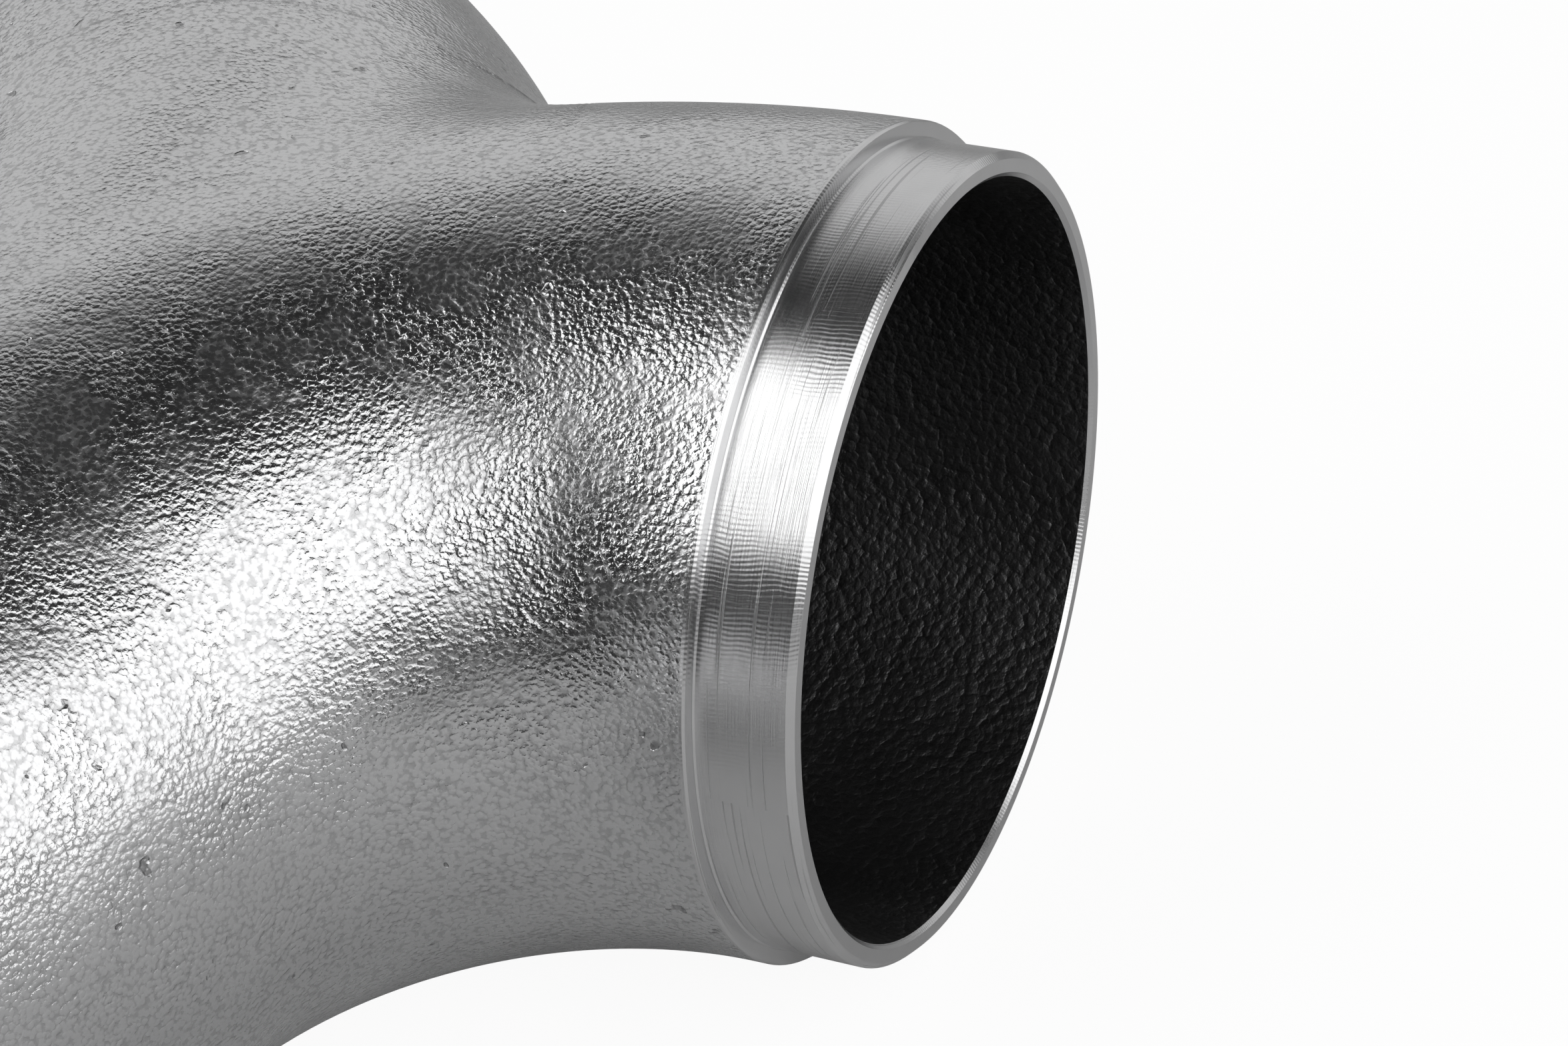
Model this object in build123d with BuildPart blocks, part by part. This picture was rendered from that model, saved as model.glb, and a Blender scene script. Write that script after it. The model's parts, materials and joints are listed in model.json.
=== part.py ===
import os
from math import cos, radians, sin

from build123d import *

# Double Y-pipe: one hollow casting with four equal spigots that slip into tubes.
# A short stem forks at each end into two mirrored bends. All centrelines lie in
# the XY plane, the stem runs along X, and the origin is the middle of the stem.
# Millimetres, +Z up.

# Tube that the casting joins
tube_outer_diameter = 76.1
tube_wall = 1.5
slip_clearance = 0.05

# Spigot that slips into the tube
spigot_length = 8.8
spigot_wall = 2.2
rim_chamfer = 0.6
bore_chamfer = 0.4

# Turned collar at the end of the cast body, whose shoulder meets the tube
collar_length = 0.6
collar_chamfer = 0.3

# Centreline of the stem and of each bend
stem_length = 40.0
bend_radius = 66.5
port_angle = 72.0

# Cast radii where two bends part, outside and in the bore
crotch_radius = 22.0
nose_radius = 6.0

# Distance past the stem at which those radii begin
run_out = 20.0

# Sizes that follow from those above
body_radius = tube_outer_diameter / 2
spigot_radius = body_radius - tube_wall - slip_clearance
bore_radius = spigot_radius - spigot_wall
rim_distance = collar_length + spigot_length
stem_end = stem_length / 2

# Port at +X, -Y: the end of its bend, the way it faces and a plane through its axis
port_middle = Vector(
    stem_end + bend_radius * sin(radians(port_angle)),
    -bend_radius * (1 - cos(radians(port_angle))),
)
port_way = Vector(cos(radians(port_angle)), -sin(radians(port_angle)))
port_section = Plane(origin=port_middle, x_dir=(0, 0, 1), z_dir=Vector(0, 0, 1).cross(port_way))


def forked_run(section_radius, blend_radius):
    """Solid that fills the stem and the two bends at +X, rounded where they part."""
    with BuildPart() as bends:
        with BuildLine() as centreline:
            Line((0, 0), (stem_end, 0))
            JernArc(start=(stem_end, 0), tangent=(1, 0), radius=bend_radius, arc_size=-port_angle)
        with BuildSketch(Plane.YZ):
            Circle(section_radius)
        sweep(path=centreline.wires()[0])
        mirror(about=Plane.XZ)

    # The bends part so slowly at the stem that their seam takes no radius there
    with BuildPart() as fork:
        add(bends.part)
        split(bisect_by=Plane.YZ.offset(stem_end + run_out))
        seam = [edge for edge in fork.edges().filter_by(GeomType.BSPLINE) if abs((edge @ 0.5).Y) < 0.01]
        fillet(seam, blend_radius)

    with BuildPart() as run:
        add(bends.part)
        add(fork.part)
    return run.part


# Cast skin and bore of the half at +X
skin = forked_run(body_radius, crotch_radius)
bore = forked_run(bore_radius, nose_radius)

# Two machined spigots with their collars, each a ring turned about the axis of its port
with BuildPart() as spigots:
    with BuildSketch(port_section) as profile:
        with BuildLine():
            Polyline(
                (bore_radius, 0),
                (body_radius, 0),
                (body_radius, collar_length),
                (spigot_radius, collar_length),
                (spigot_radius, rim_distance),
                (bore_radius, rim_distance),
                close=True,
            )
        make_face()
        rim = profile.vertices().group_by(Axis.Y)[-1].sort_by(Axis.X)
        chamfer(rim[-1], rim_chamfer)
        chamfer(rim[0], bore_chamfer)
        collar = profile.vertices().group_by(Axis.X)[-1].sort_by(Axis.Y)
        chamfer(collar[-1], collar_chamfer)
    revolve(axis=Axis(port_middle, port_way))
    mirror(about=Plane.XZ)

# Whole casting, the half at -X mirrored from the other
with BuildPart() as double_y_pipe:
    add(skin)
    add(spigots.part)
    add(bore, mode=Mode.SUBTRACT)
    mirror(about=Plane.YZ)
double_y_pipe.part.label = "double_y_pipe"

os.makedirs("parts", exist_ok=True)
export_step(double_y_pipe.part, "parts/double_y_pipe.step")
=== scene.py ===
# %% [markdown]
# # A double Y-pipe casting
#
# A short hollow stem forks at both ends into two smooth bends, and each bend ends in
# a machined spigot. The cast skin is grainy like orange peel, the spigots are turned
# bright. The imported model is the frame: every size below comes from it.

# %% Load the frame
import json
from math import atan2, cos, pi, radians, sin

import bpy
import numpy as np
from mathutils import Matrix, Vector


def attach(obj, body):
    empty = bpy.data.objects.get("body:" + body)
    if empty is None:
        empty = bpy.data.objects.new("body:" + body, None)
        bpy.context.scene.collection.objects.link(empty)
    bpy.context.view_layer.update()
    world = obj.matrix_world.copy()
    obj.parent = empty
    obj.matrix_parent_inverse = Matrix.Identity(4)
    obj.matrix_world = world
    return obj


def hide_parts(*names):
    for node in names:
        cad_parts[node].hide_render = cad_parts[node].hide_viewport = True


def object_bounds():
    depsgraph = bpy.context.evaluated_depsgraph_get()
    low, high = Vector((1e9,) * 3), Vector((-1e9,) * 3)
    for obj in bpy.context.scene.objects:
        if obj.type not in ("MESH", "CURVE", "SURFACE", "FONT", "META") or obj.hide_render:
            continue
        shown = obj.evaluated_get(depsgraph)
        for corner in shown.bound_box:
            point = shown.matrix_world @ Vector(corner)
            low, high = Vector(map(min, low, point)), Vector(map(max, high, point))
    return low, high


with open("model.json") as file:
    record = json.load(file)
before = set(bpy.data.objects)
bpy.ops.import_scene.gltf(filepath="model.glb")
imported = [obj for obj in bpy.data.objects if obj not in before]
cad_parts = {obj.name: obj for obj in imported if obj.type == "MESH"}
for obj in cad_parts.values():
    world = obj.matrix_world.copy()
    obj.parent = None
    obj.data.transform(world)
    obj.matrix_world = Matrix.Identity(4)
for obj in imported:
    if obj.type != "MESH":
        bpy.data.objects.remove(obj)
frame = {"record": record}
cad_box = [list(corner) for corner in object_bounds()]
print("CAD box in metres:", cad_box)

# %% [markdown]
# ## Sizes
#
# The four ports are alike, so one is enough to know them all. Its mount gives the
# radius of the spigot, a point on its axis and the way it faces. The bend leaves the
# stem along X and turns through the port's angle, which gives its radius.

# %% Work the sizes out from the frame
MM = 0.001

port = next(m for m in frame["record"]["mounts"] if m["name"] == "port_front_right")
way = Vector(port["axis"])
port_angle = atan2(-way.y, way.x)
spigot_radius = port["dims"]["r_mm"]
body_radius = cad_box[1][2] / MM

spigot_length = 8.8
collar_length = 0.6
collar_chamfer = 0.3
rim_distance = collar_length + spigot_length
rim_chamfer = 0.6
bore_chamfer = 0.4
rim_wall = 2.2
bore_radius = spigot_radius - rim_wall

mount_offset = collar_length + port["dims"]["length_mm"] / 2
port_point = Vector(port["pos_m"]) / MM - way * mount_offset
bend_radius = -port_point.y / (1 - cos(port_angle))
stem_end = port_point.x - bend_radius * sin(port_angle)
print("bend radius", round(bend_radius, 2), "half stem", round(stem_end, 2), "body radius", round(body_radius, 2))

# %% [markdown]
# ## The skin as a rule
#
# A swept pipe is all the points at one distance from its centreline. Two pipes that
# part in a Y are joined by a smooth minimum of their two distances, which fills the
# valley between them softly, as a foundry pattern does. Each ring of the skin starts
# on the centreline and steps outward until that blended distance is zero. Only the
# quarter at +X and -Y is worked out: where a ring would cross the plane between the
# two bends, it stops there, and its mirror image goes on.

# %% Distance to the centreline and the blend
flush_share = 0.8


def centreline(run):
    """Point, outward side and bend angle of the centreline, at distances along it."""
    angle = np.maximum(run - stem_end, 0) / bend_radius
    x = np.minimum(run, stem_end) + bend_radius * np.sin(angle)
    y = -bend_radius * (1 - np.cos(angle))
    return x, y, angle


def pipe_distance(x, y, z):
    """Distance from the centreline of the bend at -Y."""
    across = np.where(x > stem_end, np.hypot(x - stem_end, y + bend_radius) - bend_radius, y)
    return np.hypot(across, z)


def blend_width(x, full):
    """Width of the blend, which grows as the bends part and never swells the stem."""
    parting = np.hypot(np.maximum(x - stem_end, 0), bend_radius) - bend_radius
    room = flush_share * 2 * parting**2 / body_radius
    return full * room / (full + room)


def blended(x, y, z, radius, full):
    """Smooth minimum of the distances to the two bends."""
    near = pipe_distance(x, y, z) - radius
    far = pipe_distance(x, -y, z) - radius
    width = blend_width(x, full) + 1e-6
    overlap = np.maximum(width - np.abs(near - far), 0) / width
    return np.minimum(near, far) - overlap * overlap * width / 4


# %% One quarter of a run of pipe
ring_points = 160
stem_rows = 10


def quarter_rings(radius, full, fork_rows, arm_rows):
    """Rings of points over the stem and one bend, from the middle out to the shoulder."""
    part_angle = np.arccos(bend_radius / (bend_radius + radius + full / 4))
    before = part_angle * np.sin(np.linspace(0, pi / 2, fork_rows + 1))
    after = np.linspace(part_angle, port_angle, arm_rows + 1)[1:]
    bend = stem_end + bend_radius * np.concatenate([before, after])
    run = np.concatenate([np.linspace(0, stem_end, stem_rows + 1)[:-1], bend])
    x, y, angle = (value[:, None] for value in centreline(run))

    # Where each ring meets the plane between the bends, or closes on itself
    lean = np.zeros_like(x)
    for _ in range(12):
        edge = radius + blend_width(x + radius * np.sin(lean) * np.sin(angle), full) / 4
        lean = np.arcsin(np.clip(-y / (edge * np.cos(angle)), 0, 1))
    lean[stem_rows + fork_rows:] = pi / 2
    turn = -lean + np.linspace(0, 1, ring_points + 1)[None, :] * (pi + 2 * lean)

    # Step outward from the centreline to the blended skin
    side = np.stack([-np.sin(turn) * np.sin(angle), -np.sin(turn) * np.cos(angle), np.cos(turn)])
    reach = np.full_like(turn, radius)
    for _ in range(40):
        reach -= blended(x + reach * side[0], y + reach * side[1], reach * side[2], radius, full)
    points = np.stack([x + reach * side[0], y + reach * side[1], reach * side[2]], axis=-1)

    # The ends of a ring that stops at the plane lie in it exactly
    points[:stem_rows + fork_rows + 1, [0, -1], 1] = 0
    return points


skin_blend = 18.0
nose_blend = 6.5
skin = quarter_rings(body_radius, skin_blend, 36, 14)
bore = quarter_rings(bore_radius, nose_blend, 26, 8)
print("skin rings", skin.shape, "bore rings", bore.shape)

# %% [markdown]
# ## The turned spigot
#
# A lathe makes the collar, its square shoulder, the spigot and its rim in one setting, so
# their outline is a list of (distance past the bend, radius) pairs, and each pair
# is one ring about the axis of the port. The rings use the same angles as the skin
# and the bore, so that the three meet point to point.

# %% Rings of the spigot
edge_break = 0.15
collar_outline = [
    (collar_length - collar_chamfer, body_radius),
    (collar_length - edge_break / 2, body_radius - collar_chamfer + edge_break),
    (collar_length, body_radius - collar_chamfer - edge_break),
    (collar_length, spigot_radius + edge_break),
    (collar_length + edge_break, spigot_radius),
]
rim_outline = [
    (rim_distance - rim_chamfer, spigot_radius),
    (rim_distance, spigot_radius - rim_chamfer),
    (rim_distance, bore_radius + bore_chamfer),
    (rim_distance - bore_chamfer, bore_radius),
]
mouth_outline = [(rim_distance - bore_chamfer, bore_radius), (rim_distance / 2, bore_radius)]


def lathe_ring(distance, radius):
    """One ring about the axis of the port at +X and -Y."""
    turn = np.linspace(-pi / 2, 3 * pi / 2, ring_points + 1)
    out_x, out_y = sin(port_angle), cos(port_angle)
    centre = port_point + way * distance
    ring = [
        centre.x - radius * np.sin(turn) * out_x,
        centre.y - radius * np.sin(turn) * out_y,
        radius * np.cos(turn),
    ]
    return np.stack(ring, axis=-1)


spigot = np.stack([skin[-1]] + [lathe_ring(*pair) for pair in collar_outline + rim_outline])
mouth = np.stack([lathe_ring(*pair) for pair in mouth_outline] + [bore[-1]])
print("spigot rings", spigot.shape, "mouth rings", mouth.shape)

# %% [markdown]
# ## From rings to a mesh
#
# Each pair of neighbouring rings is joined by a band of quads. A face attribute keeps
# which of the three surfaces a quad belongs to, because the finish of each differs.

# %% Join the rings of the quarter
CAST, TURNED, BORE = 0, 1, 2


def band_faces(rings, start, inward=False):
    """Quads between neighbouring rings, as indices from start."""
    rows, columns = rings.shape[:2]
    index = start + np.arange(rows * columns).reshape(rows, columns)
    quads = np.stack([index[:-1, :-1], index[1:, :-1], index[1:, 1:], index[:-1, 1:]], axis=-1)
    return (quads if inward else quads[..., ::-1]).reshape(-1, 4)


surfaces = [(skin, CAST, False), (spigot, TURNED, False), (mouth, BORE, False), (bore, BORE, True)]
points, faces, regions = [], [], []
for rings, region, inward in surfaces:
    quads = band_faces(rings, sum(len(p) for p in points), inward)
    points.append(rings.reshape(-1, 3))
    faces.append(quads)
    regions += [region] * len(quads)

quarter = bpy.data.meshes.new("quarter_of_the_casting")
quarter.from_pydata((np.concatenate(points) * MM).tolist(), [], np.concatenate(faces).tolist())
quarter.attributes.new("region", "INT", "FACE").data.foreach_set("value", regions)
casting = bpy.data.objects.new("casting", quarter)
bpy.context.scene.collection.objects.link(casting)
print("quarter:", len(quarter.vertices), "points,", len(quarter.polygons), "faces")

# %% [markdown]
# ## Short ways to write nodes
#
# A node tree reads best as arithmetic. Wire holds one socket and turns + - * / into
# Math nodes; Nodes adds any other node from its type, its settings and its inputs.

# %% Wires and nodes


class Wire:
    """One output socket that takes part in expressions."""

    def __init__(self, nodes, socket):
        self.nodes = nodes
        self.socket = socket

    def math(self, operation, *values):
        made = self.nodes.tree.nodes.new("ShaderNodeMath")
        made.operation = operation
        for socket, value in zip(made.inputs, values):
            self.nodes.feed(socket, value)
        return Wire(self.nodes, made.outputs[0])

    def __add__(self, other):
        return self.math("ADD", self, other)

    __radd__ = __add__

    def __sub__(self, other):
        return self.math("SUBTRACT", self, other)

    def __rsub__(self, other):
        return self.math("SUBTRACT", other, self)

    def __mul__(self, other):
        return self.math("MULTIPLY", self, other)

    __rmul__ = __mul__

    def __abs__(self):
        return self.math("ABSOLUTE", self)

    def step(self, low, high):
        """0 below low, 1 above high, smooth between them."""
        spread = self.nodes.add(
            "ShaderNodeMapRange", {"interpolation_type": "SMOOTHSTEP"}, Value=self, From_Min=low, From_Max=high
        )
        return spread["Result"]


class Made:
    """A new node, whose outputs are picked by name."""

    def __init__(self, nodes, node):
        self.nodes = nodes
        self.node = node

    def __getitem__(self, name):
        socket = next(s for s in self.node.outputs if s.enabled and s.name == name)
        return Wire(self.nodes, socket)


class Nodes:
    """A node tree, emptied and ready to be filled."""

    def __init__(self, tree):
        self.tree = tree
        tree.nodes.clear()

    def feed(self, socket, value):
        if isinstance(value, Wire):
            self.tree.links.new(value.socket, socket)
        else:
            socket.default_value = value

    def add(self, kind, settings=None, **inputs):
        node = self.tree.nodes.new(kind)
        for key, value in (settings or {}).items():
            setattr(node, key, value)
        for key, value in inputs.items():
            socket = next(s for s in node.inputs if s.enabled and s.name.replace(" ", "_") == key)
            self.feed(socket, value)
        return Made(self, node)


# %% [markdown]
# ## Shared patterns
#
# All patterns read Object coordinates, in millimetres. The ports mirror each other,
# so the sizes of X and Y alone place a point along the axis of its own port.


# %% Patterns in millimetres
def object_mm(nodes):
    """Object coordinates in millimetres."""
    source = nodes.add("ShaderNodeTexCoord")["Object"]
    return nodes.add("ShaderNodeVectorMath", {"operation": "SCALE"}, Vector=source, Scale=1 / MM)["Vector"]


def noise(nodes, vector, scale, detail=2.0, roughness=0.5, distortion=0.0):
    """Noise with scale bumps to the unit of the vector."""
    made = nodes.add(
        "ShaderNodeTexNoise", Vector=vector, Scale=scale, Detail=detail, Roughness=roughness, Distortion=distortion
    )
    return Wire(nodes, made.node.outputs[0])


def port_coordinates(nodes, vector):
    """Distance past the shoulder, and the angle about the axis of the nearest port."""
    parts = nodes.add("ShaderNodeSeparateXYZ", Vector=vector)
    x, y = abs(parts["X"]), abs(parts["Y"])
    along = x * way.x + y * -way.y - port_point.dot(way)
    across = x * -way.y - y * way.x - (port_point.x * -way.y + port_point.y * way.x)
    angle = across.math("ARCTAN2", parts["Z"], across)
    return along, angle


def tint(nodes, factor, low, high):
    """A colour between two greys, as an RGB triple each."""
    mix = nodes.add("ShaderNodeMix", {"data_type": "RGBA"}, Factor=factor, A=(*low, 1), B=(*high, 1))
    return mix["Result"]


def bump(nodes, height):
    """The normal of a surface raised by a height in millimetres."""
    return nodes.add("ShaderNodeBump", Height=height, Distance=MM, Strength=1.0)["Normal"]


def finish(name):
    """An empty material and its nodes."""
    material = bpy.data.materials.new(name)
    material.use_nodes = True
    return material, Nodes(material.node_tree)


def surface(nodes, **inputs):
    """The closing shader of a metal."""
    shader = nodes.add("ShaderNodeBsdfPrincipled", Metallic=1.0, **inputs)["BSDF"]
    nodes.add("ShaderNodeOutputMaterial", Surface=shader)


# %% [markdown]
# ## The cast skin
#
# Investment casting leaves a skin of tiny pebbles about half a millimetre wide, with
# fine creases between them. The pebbles break dark reflections into sparkles, and the
# creases stay dark in bright ones, helped by painted shade: the base colour is darker
# in the creases and the pits. A Voronoi pattern gives the pebbles, bent by noise
# so that no two are alike. A slow swell makes the reflections wander, and in places
# the skin is nearly smooth.


# %% Pebbled skin
def pebbles(nodes, place, size):
    """Distance from the middle of the nearest pebble, 0 to about 0.7 at the creases."""
    wander = nodes.add("ShaderNodeTexNoise", Vector=place, Scale=1.2 / size, Detail=2.0)
    bent = nodes.add("ShaderNodeVectorMath", {"operation": "SCALE"}, Vector=wander["Color"], Scale=0.9 * size)
    moved = nodes.add("ShaderNodeVectorMath", {"operation": "ADD"}, Vector=place)
    nodes.feed(moved.node.inputs[1], bent["Vector"])
    cells = nodes.add(
        "ShaderNodeTexVoronoi",
        {"feature": "SMOOTH_F1"},
        Vector=moved["Vector"],
        Scale=1 / size,
        Smoothness=0.25,
        Randomness=1.0,
    )
    return cells["Distance"]


def cast_skin():
    material, nodes = finish("cast_steel_skin")
    place = object_mm(nodes)
    pebble = pebbles(nodes, place, 0.50)
    grit = noise(nodes, place, 2.6, detail=3.0, roughness=0.65)
    lumps = noise(nodes, place, 0.6, detail=2.0)
    swell = noise(nodes, place, 0.06, detail=1.0)
    mottle = noise(nodes, place, 0.16, detail=3.0, roughness=0.6)
    worn = mottle.step(0.38, 0.62)
    crease = pebble.step(0.45, 0.75)
    pits = noise(nodes, place, 0.42, detail=2.0, distortion=0.4).step(0.71, 0.76)
    relief = (0.060 - 0.030 * worn) * (1 - pebble * pebble * 1.6) + 0.020 * grit + 0.05 * lumps
    height = relief + 0.8 * swell - 0.1 * pits
    # Painted shade: the base colour darkens in the creases between pebbles and in the pits
    painted_crease_shade = crease * 0.25 + pits * 0.5
    surface(
        nodes,
        Base_Color=tint(nodes, painted_crease_shade, (0.74, 0.742, 0.748), (0.16, 0.16, 0.162)),
        Roughness=0.16 + 0.08 * worn + 0.10 * crease,
        Normal=bump(nodes, height),
    )
    return material


# %% [markdown]
# ## The turned spigot and the bore
#
# The tool leaves fine rings about the axis and, where it chattered, short waves that
# run along it. The bore keeps the coarser skin of the core, dull, and its base colour
# is painted dark as the shade inside the pipe.


# %% Turned metal
def turned_metal():
    material, nodes = finish("turned_steel")
    place = object_mm(nodes)
    along, angle = port_coordinates(nodes, place)
    rings_at = nodes.add("ShaderNodeCombineXYZ", X=along * 5.0, Y=angle * 0.8)["Vector"]
    rings = noise(nodes, rings_at, 1.0, detail=4.0, roughness=0.75)
    chatter_count = 2 * pi * spigot_radius / 0.42
    drift = noise(nodes, place, 0.25, detail=2.0)
    phase = angle * chatter_count + along * 1.2 + drift * 16.0
    wave = phase.math("SINE", phase)
    patches = noise(nodes, place, 0.12, detail=2.0).step(0.38, 0.62)
    smear = noise(nodes, place, 0.3, detail=3.0)
    scores_at = nodes.add("ShaderNodeCombineXYZ", X=along * 2.6, Y=angle * 0.9)["Vector"]
    scored = noise(nodes, scores_at, 1.0, detail=5.0).step(0.60, 0.66)
    height = 0.022 * rings + 0.0035 * wave * (0.25 + 0.75 * patches) - 0.010 * scored
    surface(
        nodes,
        Base_Color=tint(nodes, scored * 0.5 + smear * 0.2, (0.78, 0.78, 0.785), (0.42, 0.42, 0.425)),
        Roughness=0.17 + 0.10 * smear + 0.1 * scored,
        Normal=bump(nodes, height),
    )
    return material


# %% Bore
def bore_skin():
    material, nodes = finish("cast_steel_bore")
    place = object_mm(nodes)
    pebble = pebbles(nodes, place, 0.9)
    grit = noise(nodes, place, 1.4, detail=3.0, roughness=0.65)
    mottle = noise(nodes, place, 0.1, detail=2.0)
    height = 0.12 * (1 - pebble * pebble) + 0.08 * grit
    surface(
        nodes,
        # Painted shade: the bore's base colour is far darker than the outer skin, standing in for the shade inside
        # the pipe
        Base_Color=tint(nodes, mottle, (0.10, 0.10, 0.101), (0.15, 0.15, 0.151)),
        Roughness=0.36 + 0.1 * mottle,
        Normal=bump(nodes, height),
    )
    return material


# %% [markdown]
# ## Four quarters make the casting
#
# The casting is the same on both sides of two planes. A Geometry Nodes tree mirrors
# the quarter across Y and then across X, turns the faces of each mirrored copy the
# right way round, welds the seams and gives each surface its finish.


# %% Mirror the quarter into the whole
def mirrored_whole(finishes, weld):
    quarter.materials.append(finishes[0])
    tree = bpy.data.node_groups.new("mirror_the_quarter", "GeometryNodeTree")
    tree.interface.new_socket("Geometry", in_out="INPUT", socket_type="NodeSocketGeometry")
    weld_input = tree.interface.new_socket("Weld Distance", in_out="INPUT", socket_type="NodeSocketFloat")
    tree.interface.new_socket("Geometry", in_out="OUTPUT", socket_type="NodeSocketGeometry")
    nodes = Nodes(tree)
    group = nodes.add("NodeGroupInput")
    whole = group["Geometry"]
    for scale in ((1, -1, 1), (-1, 1, 1)):
        image = nodes.add("GeometryNodeTransform", Geometry=whole, Scale=scale)["Geometry"]
        turned = nodes.add("GeometryNodeFlipFaces", Mesh=image)["Mesh"]
        both = nodes.add("GeometryNodeJoinGeometry", Geometry=whole)
        tree.links.new(turned.socket, both.node.inputs[0])
        whole = both["Geometry"]
    whole = nodes.add("GeometryNodeRealizeInstances", Geometry=whole)["Geometry"]
    whole = nodes.add("GeometryNodeMergeByDistance", Geometry=whole, Distance=group["Weld Distance"])["Geometry"]
    region = nodes.add("GeometryNodeInputNamedAttribute", {"data_type": "INT"}, Name="region")["Attribute"]
    for number, material in enumerate(finishes):
        same = nodes.add("FunctionNodeCompare", {"data_type": "INT", "operation": "EQUAL"}, A=region, B=number)
        whole = nodes.add(
            "GeometryNodeSetMaterial", Geometry=whole, Selection=same["Result"], Material=material
        )["Geometry"]
    nodes.add("NodeGroupOutput", Geometry=whole)
    modifier = casting.modifiers.new("mirror the quarter", "NODES")
    modifier.node_group = tree
    modifier[weld_input.identifier] = weld
    return modifier


def made_plain(piece, modifier):
    """Turn a piece's modifier result into its own mesh."""
    seen = piece.evaluated_get(bpy.context.evaluated_depsgraph_get())
    mesh = bpy.data.meshes.new_from_object(seen)
    piece.modifiers.remove(modifier)
    piece.data = mesh


weld_distance = 0.02 * MM
sharp_angle = radians(20)
made_plain(casting, mirrored_whole([cast_skin(), turned_metal(), bore_skin()], weld_distance))
casting.data.shade_smooth()
casting.data.set_sharp_from_angle(angle=sharp_angle)
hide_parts("double_y_pipe")
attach(casting, "root")
print("casting:", len(casting.data.polygons), "faces,", [m.name for m in casting.data.materials])

# %% [markdown]
# ## Camera
#
# A long lens looks down on one port from the side of the stem. The camera is placed
# from the middle of that port's rim: how far it is along the view and where it falls
# in the picture.

# %% Place the camera
picture_width, picture_height = 2350, 1568
sensor_width = 36.0
lens = 91.9
view_azimuth = radians(-135.2)
view_elevation = radians(35.5)
view_roll = radians(-5.7)
rim_depth = 0.353
rim_pixel = (1437, 844)

back = Vector((cos(view_azimuth) * cos(view_elevation), sin(view_azimuth) * cos(view_elevation), sin(view_elevation)))
level = Vector((0, 0, 1)).cross(back).normalized()
right = Matrix.Rotation(view_roll, 3, back) @ level
up = back.cross(right)

pixel_scale = lens / sensor_width * picture_width
rim_middle = (port_point + way * rim_distance) * MM
aside = (rim_pixel[0] - picture_width / 2) / pixel_scale * rim_depth
above = (picture_height / 2 - rim_pixel[1]) / pixel_scale * rim_depth
eye = rim_middle - right * aside - up * above + back * rim_depth

camera_data = bpy.data.cameras.new("camera")
camera_data.lens = lens
camera_data.sensor_width = sensor_width
camera_data.clip_start = 0.01
camera = bpy.data.objects.new("camera", camera_data)
camera.matrix_world = Matrix((right, up, back)).transposed().to_4x4()
camera.location = eye
bpy.context.scene.collection.objects.link(camera)
bpy.context.scene.camera = camera
print("camera at", [round(v, 3) for v in eye])

# %% [markdown]
# ## Light
#
# Polished metal shows its surroundings, so the light is a small studio: a soft box
# on the left, a wide one from the front round to the right, a pale wall behind, and a
# dark gap in front above them. Directions are given as seen from the camera.


# %% Soft boxes
def studio_way(azimuth, elevation):
    """Direction from the object, by degrees right of the camera and above it."""
    a, e = radians(azimuth), radians(elevation)
    return right * (sin(a) * cos(e)) + up * sin(e) + back * (cos(a) * cos(e))


def soft_box(name, azimuth, elevation, width, height, distance, level_of_light):
    """An area lamp that faces the object, of an even brightness."""
    lamp = bpy.data.lights.new(name, "AREA")
    lamp.shape = "RECTANGLE"
    lamp.size, lamp.size_y = width, height
    lamp.energy = level_of_light * pi * width * height
    made = bpy.data.objects.new(name, lamp)
    out = studio_way(azimuth, elevation)
    across = up.cross(out).normalized()
    made.matrix_world = Matrix((across, out.cross(across), out)).transposed().to_4x4()
    made.location = rim_middle + out * distance
    bpy.context.scene.collection.objects.link(made)
    return made


soft_box("left_box", -58, 26, 0.58, 0.70, 0.8, 2.0)
soft_box("right_box", 35, 11, 1.60, 0.80, 0.8, 1.4)


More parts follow.
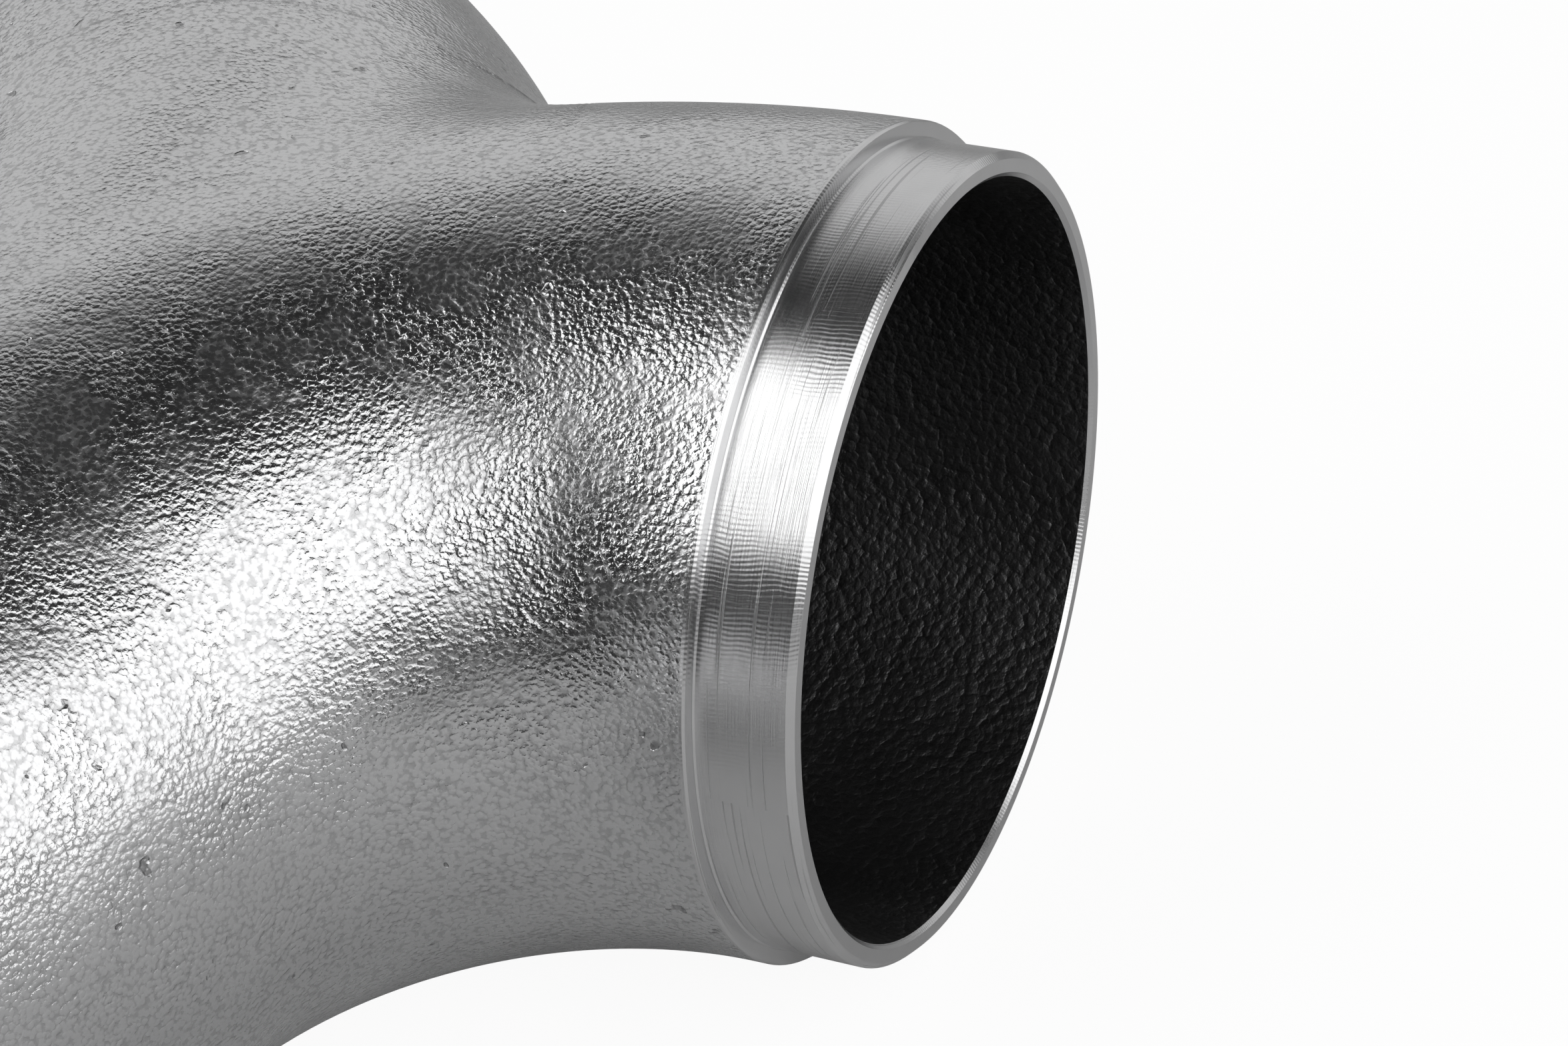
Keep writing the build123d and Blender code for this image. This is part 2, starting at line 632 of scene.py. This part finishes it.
# %% World
def studio_world():
    world = bpy.data.worlds.new("studio")
    world.use_nodes = True
    nodes = Nodes(world.node_tree)
    looking = nodes.add("ShaderNodeTexCoord")["Generated"]
    facing = nodes.add("ShaderNodeVectorMath", {"operation": "DOT_PRODUCT"}, Vector=looking)
    facing.node.inputs[1].default_value = back
    wall = 1 - facing["Value"].step(-0.35, 0.1)
    seen = nodes.add("ShaderNodeLightPath")["Is Camera Ray"]
    light = nodes.add("ShaderNodeBackground", Color=tint(nodes, wall, (0.02,) * 3, (0.62,) * 3))["Background"]
    white = nodes.add("ShaderNodeBackground", Color=(1, 1, 1, 1))["Background"]
    mixed = nodes.tree.nodes.new("ShaderNodeMixShader")
    for socket, value in zip(mixed.inputs, (seen, light, white)):
        nodes.feed(socket, value)
    nodes.add("ShaderNodeOutputWorld", Surface=Wire(nodes, mixed.outputs[0]))
    bpy.context.scene.world = world


studio_world()
print("two soft boxes and a studio wall")

# %% [markdown]
# ## Floor
#
# The casting lies flat on a pale floor. The camera sees the floor almost white, with
# a trace of the contact shadow, while the metal sees its plain shaded surface.


# %% Floor
def floor_finish():
    material, nodes = finish("pale_floor")
    diffuse = nodes.add("ShaderNodeBsdfDiffuse", Color=(0.62, 0.62, 0.62, 1))["BSDF"]
    white = nodes.add("ShaderNodeEmission", Color=(1, 1, 1, 1), Strength=1.1)["Emission"]
    seen = nodes.add("ShaderNodeLightPath")["Is Camera Ray"]
    mixed = nodes.tree.nodes.new("ShaderNodeMixShader")
    for socket, value in zip(mixed.inputs, (seen * 0.85, diffuse, white)):
        nodes.feed(socket, value)
    nodes.add("ShaderNodeOutputMaterial", Surface=Wire(nodes, mixed.outputs[0]))
    return material


floor_size = 3.0
floor_level = cad_box[0][2]
floor_mesh = bpy.data.meshes.new("floor")
corners = [(sx * floor_size, sy * floor_size, floor_level) for sx, sy in ((-1, -1), (1, -1), (1, 1), (-1, 1))]
floor_mesh.from_pydata(corners, [], [(0, 1, 2, 3)])
floor = bpy.data.objects.new("floor", floor_mesh)
floor.data.materials.append(floor_finish())
bpy.context.scene.collection.objects.link(floor)

# %% [markdown]
# ## Close
#
# The visual model has to stay inside the CAD box.

# %% Finish the scene
scene = bpy.context.scene
scene.view_settings.view_transform = "Standard"
